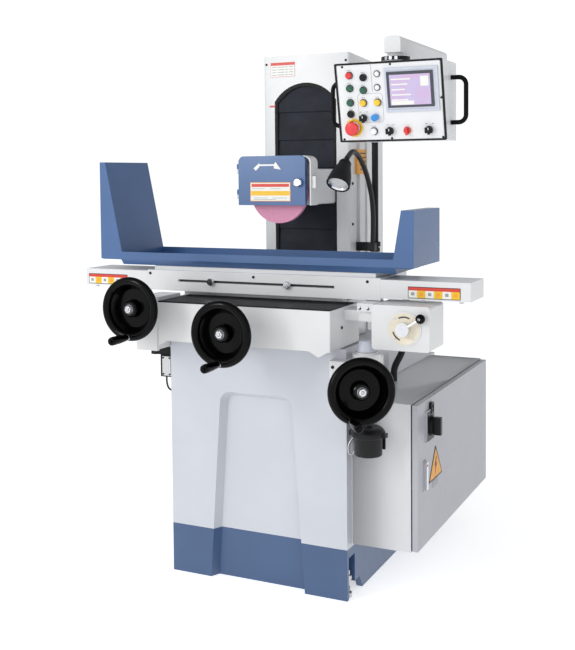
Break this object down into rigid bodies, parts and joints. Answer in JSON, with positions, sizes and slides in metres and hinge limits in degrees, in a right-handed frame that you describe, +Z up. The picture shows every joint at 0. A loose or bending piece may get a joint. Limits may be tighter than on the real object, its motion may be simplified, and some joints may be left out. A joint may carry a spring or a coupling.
{
  "type": "surface grinder",
  "caption": "Floor-standing horizontal-spindle surface grinder with reciprocating table, splash guard, handwheels, control pendant and side cabinet.",
  "frame": {"origin": "on the floor at the middle of the bed's footprint", "axes": "+X to the operator's right, +Y to the back, +Z up"},
  "size_m": [1.365, 1.225, 1.718],
  "materials": {
    "white_paint": "orange-peel gloss paint",
    "bed_paint": "white above a blue foot band",
    "blue_paint": "semi-gloss paint",
    "grey_paint": "fine texture paint",
    "black_plastic": "moulded",
    "black_gloss": "polished",
    "bellows": "coated cloth",
    "hose": "ribbed",
    "steel": "machined",
    "chrome": "polished",
    "abrasive": "vitrified grain",
    "screen": "bezel with lit panel",
    "red_plastic": "moulded",
    "green_plastic": "moulded",
    "yellow_plastic": "moulded",
    "cyan_plastic": "moulded",
    "clear_plastic": "moulded"
  },
  "bodies": {
    "root": {"base_casting": "bed_paint", "levelling_screws": "steel", "column": "white_paint", "bellows_lower": "bellows", "bellows_upper": "bellows", "cabinet_box": "grey_paint", "elevating_gearbox": "white_paint", "filler_breather": "black_plastic", "conduit_pole": "black_plastic", "lamp_gooseneck": "black_plastic", "limit_switch": "black_plastic", "hoses": "hose"},
    "saddle": {"saddle": "white_paint", "way_cover": "bellows", "feed_box": "white_paint"},
    "table": {"table": "white_paint", "table_ends": "white_paint", "splash_guard": "blue_paint"},
    "dog_left": {"reversing_dog_left": "chrome"},
    "dog_right": {"reversing_dog_right": "chrome"},
    "x_wheel": {"x_handwheel": "black_gloss"},
    "x_crank": {"x_crank_handle": "black_gloss"},
    "y_wheel": {"y_handwheel": "black_gloss", "cross_feed_screw": "steel"},
    "y_crank": {"y_crank_handle": "black_gloss"},
    "z_wheel": {"z_handwheel": "black_gloss"},
    "z_crank": {"z_crank_handle": "black_gloss"},
    "elevating_screw": {"elevating_screw": "steel"},
    "wheelhead": {"wheelhead": "white_paint", "wheel_guard": "white_paint", "spindle_drive": "steel"},
    "spindle": {"spindle": "steel", "grinding_wheel": "abrasive"},
    "guard_door": {"guard_door": "blue_paint"},
    "guard_knob": {"guard_knob": "chrome"},
    "feed_lever": {"feed_lever": "chrome"},
    "cabinet_door": {"cabinet_door": "grey_paint"},
    "main_switch": {"main_switch": "black_plastic"},
    "door_latch": {"door_latch": "chrome"},
    "filler_lid": {"filler_lid": "black_plastic"},
    "lamp_head": {"lamp_head": "black_plastic"},
    "pendant_arm": {"pendant_arm": "white_paint"},
    "pendant": {"pendant_box": "white_paint", "pendant_handles": "black_gloss", "touch_screen": "screen"},
    "emergency_stop": {"emergency_stop": "red_plastic"},
    "red_button": {"red_button": "red_plastic"},
    "green_button_1": {"green_button_1": "green_plastic"},
    "green_button_2": {"green_button_2": "green_plastic"},
    "green_button_3": {"green_button_3": "green_plastic"},
    "black_button_1": {"black_button_1": "black_plastic"},
    "black_button_2": {"black_button_2": "black_plastic"},
    "yellow_button_1": {"yellow_button_1": "yellow_plastic"},
    "yellow_button_2": {"yellow_button_2": "yellow_plastic"},
    "white_button": {"white_button": "clear_plastic"},
    "mode_selector": {"mode_selector": "black_plastic"},
    "speed_knob": {"speed_knob": "cyan_plastic"},
    "feed_selector": {"feed_selector": "black_plastic"},
    "magnet_selector": {"magnet_selector": "red_plastic"},
    "range_selector": {"range_selector": "black_plastic"}
  },
  "joints": [
    {"name": "cross_handwheel_turn", "type": "hinge", "parent": "saddle", "child": "y_wheel", "pos_m": [0, -0.63, 0.835], "axis": [0, 1, 0], "range_deg": [-6123.1, 5762.9]},
    {"name": "saddle_slide", "type": "slide", "parent": "root", "child": "saddle", "axis": [0, 1, 0], "range_m": [-0.085, 0.08]},
    {"name": "table_handwheel_turn", "type": "hinge", "parent": "saddle", "child": "x_wheel", "pos_m": [-0.334, -0.63, 0.89], "axis": [0, 1, 0], "range_deg": [-1083.3, 1083.3]},
    {"name": "table_slide", "type": "slide", "parent": "saddle", "child": "table", "axis": [1, 0, 0], "range_m": [-0.24, 0.24]},
    {"name": "elevating_handwheel_turn", "type": "hinge", "parent": "root", "child": "z_wheel", "pos_m": [0.40904, -0.57995, 0.681], "axis": [-0.5736, 0.8192, 0], "range_deg": [-19449.7, 25933]},
    {"name": "wheelhead_slide", "type": "slide", "parent": "root", "child": "wheelhead", "axis": [0, 0, 1], "range_m": [-0.135, 0.18], "deforming": ["bellows_lower", "bellows_upper"]},
    {"name": "elevating_screw_turn", "type": "hinge", "parent": "root", "child": "elevating_screw", "pos_m": [0, 0.108, 1.2], "axis": [0, 0, 1], "range_deg": [-9724.9, 12966.5]},
    {"name": "x_crank_spin", "type": "hinge", "parent": "x_wheel", "child": "x_crank", "pos_m": [-0.334, -0.72, 0.804], "axis": [0, 1, 0], "continuous": true},
    {"name": "y_crank_spin", "type": "hinge", "parent": "y_wheel", "child": "y_crank", "pos_m": [0, -0.73, 0.749], "axis": [0, 1, 0], "continuous": true},
    {"name": "z_crank_spin", "type": "hinge", "parent": "z_wheel", "child": "z_crank", "pos_m": [0.38208, -0.59883, 0.60155], "axis": [-0.5736, 0.8192, 0], "continuous": true},
    {"name": "dog_left_slide", "type": "slide", "parent": "table", "child": "dog_left", "axis": [1, 0, 0], "range_m": [-0.115, 0.12]},
    {"name": "dog_right_slide", "type": "slide", "parent": "table", "child": "dog_right", "axis": [1, 0, 0], "range_m": [-0.14, 0.15]},
    {"name": "spindle_spin", "type": "hinge", "parent": "wheelhead", "child": "spindle", "pos_m": [0, -0.2, 1.245], "axis": [0, 1, 0], "continuous": true},
    {"name": "guard_door_swing", "type": "hinge", "parent": "wheelhead", "child": "guard_door", "pos_m": [-0.138, -0.288, 1.28], "axis": [0, 0, -1], "range_deg": [0, 110]},
    {"name": "guard_knob_turn", "type": "hinge", "parent": "guard_door", "child": "guard_knob", "pos_m": [0.087, -0.3, 1.277], "axis": [0, 1, 0], "range_deg": [0, 90]},
    {"name": "feed_lever_swing", "type": "hinge", "parent": "saddle", "child": "feed_lever", "pos_m": [0.497, -0.47, 0.85], "axis": [0, 1, 0], "range_deg": [-65, 55]},
    {"name": "cabinet_door_swing", "type": "hinge", "parent": "root", "child": "cabinet_door", "pos_m": [0.506, 0.416, 0.39], "axis": [0, 0, 1], "range_deg": [0, 115]},
    {"name": "main_switch_turn", "type": "hinge", "parent": "cabinet_door", "child": "main_switch", "pos_m": [0.53, -0.298, 0.531], "axis": [1, 0, 0], "range_deg": [0, 90]},
    {"name": "door_latch_turn", "type": "hinge", "parent": "cabinet_door", "child": "door_latch", "pos_m": [0.525, -0.343, 0.4], "axis": [1, 0, 0], "range_deg": [0, 90]},
    {"name": "filler_lid_turn", "type": "hinge", "parent": "root", "child": "filler_lid", "pos_m": [0.386, -0.468, 0.535], "axis": [0, 0, 1], "range_deg": [0, 45]},
    {"name": "lamp_head_tilt", "type": "hinge", "parent": "root", "child": "lamp_head", "pos_m": [0.22, -0.222, 1.345], "axis": [1, 0, 0], "range_deg": [-25, 25]},
    {"name": "pendant_arm_swing", "type": "hinge", "parent": "root", "child": "pendant_arm", "pos_m": [0.455, 0, 1.66], "axis": [0, 0, 1], "range_deg": [-20, 75]},
    {"name": "pendant_swivel", "type": "hinge", "parent": "pendant_arm", "child": "pendant", "pos_m": [0.45, -0.395, 1.63], "axis": [0, 0, 1], "range_deg": [-60, 60]},
    {"name": "emergency_stop_push", "type": "slide", "parent": "pendant", "child": "emergency_stop", "axis": [0, 0.9781, 0.2079], "range_m": [0, 0.007], "stiffness_N_per_m": 500},
    {"name": "red_button_push", "type": "slide", "parent": "pendant", "child": "red_button", "axis": [0, 0.9781, 0.2079], "range_m": [0, 0.004], "stiffness_N_per_m": 350},
    {"name": "green_button_1_push", "type": "slide", "parent": "pendant", "child": "green_button_1", "axis": [0, 0.9781, 0.2079], "range_m": [0, 0.004], "stiffness_N_per_m": 350},
    {"name": "green_button_2_push", "type": "slide", "parent": "pendant", "child": "green_button_2", "axis": [0, 0.9781, 0.2079], "range_m": [0, 0.004], "stiffness_N_per_m": 350},
    {"name": "green_button_3_push", "type": "slide", "parent": "pendant", "child": "green_button_3", "axis": [0, 0.9781, 0.2079], "range_m": [0, 0.004], "stiffness_N_per_m": 350},
    {"name": "black_button_1_push", "type": "slide", "parent": "pendant", "child": "black_button_1", "axis": [0, 0.9781, 0.2079], "range_m": [0, 0.004], "stiffness_N_per_m": 350},
    {"name": "black_button_2_push", "type": "slide", "parent": "pendant", "child": "black_button_2", "axis": [0, 0.9781, 0.2079], "range_m": [0, 0.004], "stiffness_N_per_m": 350},
    {"name": "yellow_button_1_push", "type": "slide", "parent": "pendant", "child": "yellow_button_1", "axis": [0, 0.9781, 0.2079], "range_m": [0, 0.004], "stiffness_N_per_m": 350},
    {"name": "yellow_button_2_push", "type": "slide", "parent": "pendant", "child": "yellow_button_2", "axis": [0, 0.9781, 0.2079], "range_m": [0, 0.004], "stiffness_N_per_m": 350},
    {"name": "white_button_push", "type": "slide", "parent": "pendant", "child": "white_button", "axis": [0, 0.9781, 0.2079], "range_m": [0, 0.004], "stiffness_N_per_m": 350},
    {"name": "mode_selector_turn", "type": "hinge", "parent": "pendant", "child": "mode_selector", "pos_m": [0.3671, -0.4405, 1.4678], "axis": [0, 0.9781, 0.2079], "range_deg": [-45, 45]},
    {"name": "speed_knob_turn", "type": "hinge", "parent": "pendant", "child": "speed_knob", "pos_m": [0.4041, -0.44075, 1.46897], "axis": [0, 0.9781, 0.2079], "range_deg": [-135, 135]},
    {"name": "feed_selector_turn", "type": "hinge", "parent": "pendant", "child": "feed_selector", "pos_m": [0.4465, -0.43216, 1.42857], "axis": [0, 0.9781, 0.2079], "range_deg": [-45, 45]},
    {"name": "magnet_selector_turn", "type": "hinge", "parent": "pendant", "child": "magnet_selector", "pos_m": [0.4992, -0.43216, 1.42857], "axis": [0, 0.9781, 0.2079], "range_deg": [-45, 45]},
    {"name": "range_selector_turn", "type": "hinge", "parent": "pendant", "child": "range_selector", "pos_m": [0.5655, -0.4322, 1.42877], "axis": [0, 0.9781, 0.2079], "range_deg": [-45, 45]}
  ],
  "couplings": [
    {"joint": "cross_handwheel_turn", "follows": "saddle_slide", "rad_per_m": 1256.6},
    {"joint": "table_handwheel_turn", "follows": "table_slide", "rad_per_m": 78.74},
    {"joint": "elevating_handwheel_turn", "follows": "wheelhead_slide", "rad_per_m": 2513.3},
    {"joint": "elevating_screw_turn", "follows": "wheelhead_slide", "rad_per_m": 1256.6}
  ]
}
